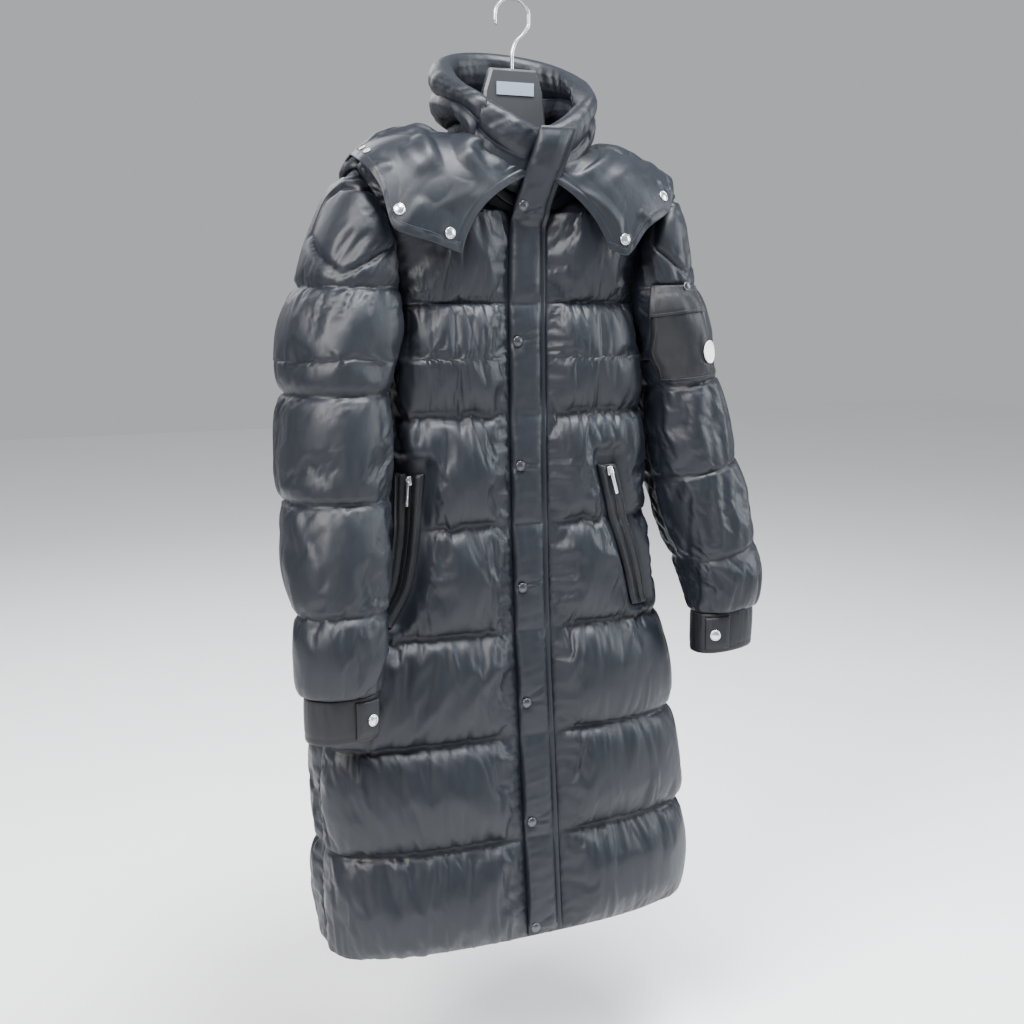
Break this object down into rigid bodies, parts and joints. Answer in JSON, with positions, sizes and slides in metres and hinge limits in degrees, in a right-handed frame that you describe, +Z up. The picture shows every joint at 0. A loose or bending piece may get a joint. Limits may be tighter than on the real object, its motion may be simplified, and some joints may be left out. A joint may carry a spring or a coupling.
{
  "type": "long puffer coat on a hanger",
  "caption": "Long quilted down coat hanging on a plastic hanger, with a stand collar, a snapped placket, slanted zip pockets, a sleeve pocket and a plain hood laid back.",
  "frame": {"origin": "the point where the inside of the hanger's hook bears on its rail", "axes": "+Z up; the coat's front faces -Y; +X towards the wearer's left sleeve"},
  "size_m": [0.677, 0.3417, 1.2375],
  "materials": {
    "shell_nylon": "charcoal down-proof nylon with a satin sheen",
    "trim_nylon": "near-black plain nylon, satin",
    "silver_metal": "silver plated metal",
    "dark_metal": "dark plated metal",
    "hanger_plastic": "dark grey moulded plastic",
    "pane_plastic": "bare pale blue-grey inlay",
    "hook_wire": "polished wire",
    "patch_cloth": "bare pale twill patch"
  },
  "bodies": {
    "coat": {"front_right": "shell_nylon", "front_left": "shell_nylon", "back": "shell_nylon", "sleeve_right": "shell_nylon", "sleeve_left": "shell_nylon", "collar": "shell_nylon", "placket": "shell_nylon", "hood_back": "shell_nylon", "hood_right": "shell_nylon", "hood_left": "shell_nylon", "cuff_right": "trim_nylon", "cuff_left": "trim_nylon", "cuff_tab_right": "trim_nylon", "cuff_tab_left": "trim_nylon", "neck_band": "trim_nylon", "welt_right": "trim_nylon", "welt_left": "trim_nylon", "zip_right": "trim_nylon", "zip_left": "trim_nylon", "sleeve_pocket": "trim_nylon", "sleeve_pocket_flap": "trim_nylon", "cuff_snap_right": "silver_metal", "cuff_snap_left": "silver_metal", "hood_snap_right_1": "silver_metal", "hood_snap_right_2": "silver_metal", "hood_snap_left_1": "silver_metal", "hood_snap_left_2": "silver_metal", "hood_cord_end_1": "silver_metal", "hood_cord_end_2": "silver_metal", "slider_right": "silver_metal", "slider_left": "silver_metal", "placket_snap_1": "dark_metal", "placket_snap_2": "dark_metal", "placket_snap_3": "dark_metal", "placket_snap_4": "dark_metal", "placket_snap_5": "dark_metal", "placket_snap_6": "dark_metal", "placket_snap_7": "dark_metal", "pocket_snap": "dark_metal", "hanger": "hanger_plastic", "hanger_pane": "pane_plastic", "hook": "hook_wire", "badge": "patch_cloth"},
    "pull_right": {"pull_right": "silver_metal"},
    "pull_left": {"pull_left": "silver_metal"}
  },
  "joints": [
    {"name": "pull_right_swing", "type": "hinge", "parent": "coat", "child": "pull_right", "pos_m": [-0.17008, -0.05907, -0.5987], "axis": [-0.7665, 0.6402, 0.0517], "range_deg": [0, 150]},
    {"name": "pull_left_swing", "type": "hinge", "parent": "coat", "child": "pull_left", "pos_m": [0.10814, -0.08036, -0.59871], "axis": [-0.9543, -0.1154, -0.2756], "range_deg": [0, 150]}
  ]
}
